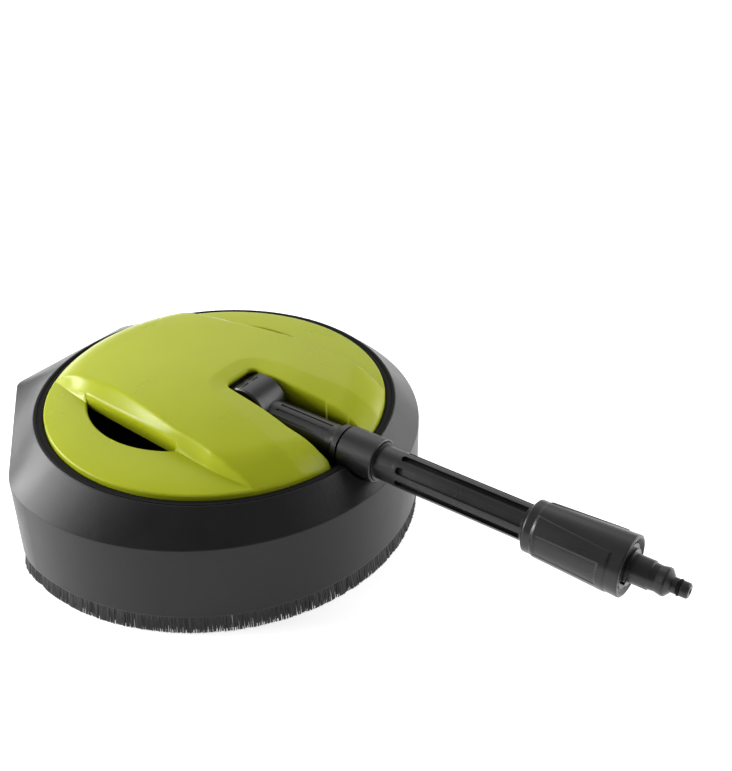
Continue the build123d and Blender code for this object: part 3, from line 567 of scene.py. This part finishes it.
def turned_lines():
    """Fine tool marks round a turned or drawn metal part."""
    tree, given, out = new_group("turned_lines", {"Scale": 900.0}, ["Height", "Shade"])
    place = add(tree, "ShaderNodeTexCoord").outputs["Object"]
    flat = add(tree, "ShaderNodeMapping", {"Vector": place, "Scale": (0.35, 0.35, 1.0)}).outputs[0]
    tree.links.new(noise(tree, flat, given.outputs["Scale"], 2.0), out.inputs["Height"])
    tree.links.new(noise(tree, place, 60.0, 3.0), out.inputs["Shade"])
    return tree


GROUPS = {maker.__name__: maker() for maker in (moulded_surface, handling_scuffs, settled_dust, turned_lines)}


def use(tree, name, **values):
    """One of the shared groups placed in a material with its own values."""
    node = tree.nodes.new("ShaderNodeGroup")
    node.node_tree = GROUPS[name]
    for key, value in values.items():
        node.inputs[key].default_value = value
    return node


def new_material(name):
    """A material with its node tree and its shader."""
    material = bpy.data.materials.new(name)
    material.use_nodes = True
    return material, material.node_tree, material.node_tree.nodes["Principled BSDF"]


def plastic(name, dark, light, rough, grain, relief, scuffs, dust, dust_colour=(0.30, 0.29, 0.27),
            rounding=0.0, gloss=0.5):
    """Moulded plastic: two close shades, a grained bump, scuffs that are duller and paler, thin dust."""
    material, tree, shader = new_material(name)
    surface = use(tree, "moulded_surface", Grain=grain, Mottle=26.0)
    marks = use(tree, "handling_scuffs", Amount=scuffs).outputs[0]
    film = use(tree, "settled_dust", Amount=dust).outputs[0]
    shade = surface.outputs["Shade"]
    pale = tuple(min(1.0, c * 1.5 + 0.02) for c in light)
    colour = mixed(tree, mapped(tree, shade, 0.3, 0.7), dark, light)
    colour = mixed(tree, film, mixed(tree, marks, colour, pale), dust_colour)
    tree.links.new(colour, shader.inputs["Base Color"])
    uneven = mapped(tree, shade, 0.3, 0.7, rough - 0.04, rough + 0.05)
    uneven = maths(tree, "ADD", uneven, maths(tree, "MULTIPLY", marks, 0.25))
    uneven = maths(tree, "ADD", uneven, maths(tree, "MULTIPLY", film, 0.5))
    tree.links.new(uneven, shader.inputs["Roughness"])
    height = surface.outputs["Height"]
    bump = add(tree, "ShaderNodeBump", {"Strength": relief, "Distance": 0.0002, "Height": height})
    if rounding:
        soft = add(tree, "ShaderNodeBevel", {"Radius": rounding * MM}, samples=6)
        tree.links.new(soft.outputs[0], bump.inputs["Normal"])
    tree.links.new(bump.outputs[0], shader.inputs["Normal"])
    shader.inputs["IOR"].default_value = 1.5
    shader.inputs["Specular IOR Level"].default_value = gloss
    return material


def metal(name, dark, light, rough, relief=0.15):
    """Turned or drawn metal: tool marks in the bump, slow variation in colour and gloss."""
    material, tree, shader = new_material(name)
    lines = use(tree, "turned_lines", Scale=900.0)
    marks = use(tree, "handling_scuffs", Amount=0.5).outputs[0]
    height, shade = lines.outputs["Height"], lines.outputs["Shade"]
    tree.links.new(mixed(tree, shade, dark, light), shader.inputs["Base Color"])
    uneven = mapped(tree, shade, 0.3, 0.7, rough - 0.06, rough + 0.08)
    uneven = maths(tree, "ADD", uneven, maths(tree, "MULTIPLY", marks, 0.2))
    tree.links.new(uneven, shader.inputs["Roughness"])
    bump = add(tree, "ShaderNodeBump", {"Strength": relief, "Distance": 0.0001, "Height": height})
    tree.links.new(bump.outputs[0], shader.inputs["Normal"])
    shader.inputs["Metallic"].default_value = 1.0
    return material


def nylon_bristle():
    """Black nylon: strands of slightly different black along the ring, a little paler at the tips."""
    material, tree, shader = new_material("nylon_bristle")
    place = add(tree, "ShaderNodeTexCoord").outputs["Object"]
    stretched = add(tree, "ShaderNodeMapping", {"Vector": place, "Scale": (1.0, 1.0, 0.06)}).outputs[0]
    strands = noise(tree, stretched, 700.0, 2.0)
    height = add(tree, "ShaderNodeSeparateXYZ", {0: place}).outputs["Z"]
    shaft = mixed(tree, mapped(tree, strands, 0.35, 0.65), (0.006, 0.006, 0.007), (0.028, 0.028, 0.030))
    colour = mixed(tree, mapped(tree, height, 0.0, 0.004, 0.5, 0.0), shaft, (0.035, 0.034, 0.033))
    tree.links.new(colour, shader.inputs["Base Color"])
    tree.links.new(mapped(tree, strands, 0.0, 1.0, 0.42, 0.65), shader.inputs["Roughness"])
    bump = add(tree, "ShaderNodeBump", {"Strength": 0.3, "Distance": 0.0002, "Height": strands})
    tree.links.new(bump.outputs[0], shader.inputs["Normal"])
    return material


MATERIALS = {
    "shell": plastic("housing_plastic", (0.008, 0.008, 0.009), (0.011, 0.011, 0.012), rough=0.33,
                     grain=1500.0, relief=0.35, scuffs=0.35, dust=0.02, rounding=1.6, gloss=0.27),
    "cover": plastic("lime_plastic", (0.360, 0.405, 0.010), (0.385, 0.430, 0.014), rough=0.30, grain=1800.0,
                     relief=0.12, scuffs=0.06, dust=0.01, dust_colour=(0.45, 0.45, 0.30), gloss=0.18),
    "black_plastic": plastic("black_plastic", (0.0045, 0.0045, 0.005), (0.007, 0.007, 0.0075), rough=0.30,
                             grain=1800.0, relief=0.25, scuffs=0.35, dust=0.02, rounding=0.35),
    "soft_black": plastic("soft_rubber", (0.003, 0.003, 0.0035), (0.005, 0.005, 0.0055), rough=0.6,
                          grain=1200.0, relief=0.4, scuffs=0.15, dust=0.01, rounding=0.3, gloss=0.12),
    "bristle": nylon_bristle(),
    "steel": metal("plated_steel", (0.55, 0.55, 0.56), (0.70, 0.70, 0.71), rough=0.28),
    "bearing": metal("ground_steel", (0.66, 0.66, 0.68), (0.78, 0.78, 0.80), rough=0.18, relief=0.08),
    "brass": metal("turned_brass", (0.68, 0.48, 0.20), (0.80, 0.60, 0.28), rough=0.25),
    "alloy": metal("turned_aluminium", (0.60, 0.61, 0.63), (0.72, 0.73, 0.75), rough=0.34),
}

for part in frame["record"]["subparts"]:
    node = frame["nodes"][part["node"]]
    node.data.materials.clear()
    node.data.materials.append(MATERIALS[part["material_slot"]])

make_cover(MATERIALS["cover"])
make_bristles(MATERIALS["bristle"])
make_sleeve(MATERIALS["black_plastic"])


# ---------------------------------------------------------------- stage
def make_floor():
    """A wide pale floor, level with the bristle tips."""
    half = 6.0
    corners = [(-half, -half, 0), (half, -half, 0), (half, half, 0), (-half, half, 0)]
    mesh = bpy.data.meshes.new("floor")
    mesh.from_pydata(corners, [], [(0, 1, 2, 3)])
    floor = bpy.data.objects.new("floor", mesh)
    bpy.context.scene.collection.objects.link(floor)
    material, _, shader = new_material("pale_floor")
    shader.inputs["Base Color"].default_value = (0.90, 0.90, 0.90, 1)
    shader.inputs["Roughness"].default_value = 0.6
    shader.inputs["Emission Color"].default_value = (1, 1, 1, 1)
    shader.inputs["Emission Strength"].default_value = 0.60
    mesh.materials.append(material)


def soft_light(name, place, aim, width, height, power):
    """A rectangular softbox at place, turned to aim."""
    data = bpy.data.lights.new(name, "AREA")
    data.shape = "RECTANGLE"
    data.size, data.size_y = width, height
    data.energy = power
    light = bpy.data.objects.new(name, data)
    light.location = place
    light.rotation_mode = "QUATERNION"
    light.rotation_quaternion = (Vector(aim) - Vector(place)).to_track_quat("-Z", "Y")
    bpy.context.scene.collection.objects.link(light)


def make_camera():
    """The camera in front of the lance's side, looking down on the cover."""
    place = Vector((0.4712, -0.4712, 0.5114))
    aim = Vector((0.0430, 0.1213, 0.0500))
    data = bpy.data.cameras.new("camera")
    data.lens = 51.4
    data.sensor_width = 36.0
    camera = bpy.data.objects.new("camera", data)
    camera.location = place
    camera.rotation_mode = "QUATERNION"
    camera.rotation_quaternion = (aim - place).to_track_quat("-Z", "Y")
    bpy.context.scene.collection.objects.link(camera)
    bpy.context.scene.camera = camera


def make_world():
    """Soft surroundings, darker behind the camera than on the far side."""
    world = bpy.data.worlds.new("studio")
    bpy.context.scene.world = world
    world.use_nodes = True
    tree = world.node_tree
    way = add(tree, "ShaderNodeTexCoord").outputs["Generated"]
    across = add(tree, "ShaderNodeVectorMath", {0: way, 1: (0.67, -0.67, 0.30)}, operation="DOT_PRODUCT")
    strength = mapped(tree, across.outputs["Value"], -0.2, 0.8, 0.62, 0.25)
    tree.links.new(strength, tree.nodes["Background"].inputs["Strength"])
    tree.nodes["Background"].inputs["Color"].default_value = (1, 1, 1, 1)


make_floor()
soft_light("back_softbox", (-0.9, 0.9, 1.1), (0, 0, 0.1), 1.6, 1.0, 5)
soft_light("left_softbox", (-1.1, -0.7, 0.9), (0, 0, 0.08), 0.9, 1.0, 4)
soft_light("right_softbox", (1.1, 0.9, 0.8), (0.1, 0, 0.08), 0.9, 1.0, 9)
soft_light("left_strip", (-1.05, -0.62, 0.42), (-0.1, 0, 0.08), 0.9, 0.35, 19)
soft_light("right_strip", (0.55, 1.1, 0.30), (0.05, 0, 0.08), 0.7, 0.25, 3)
make_camera()
make_world()
bpy.context.scene.view_settings.view_transform = "Standard"
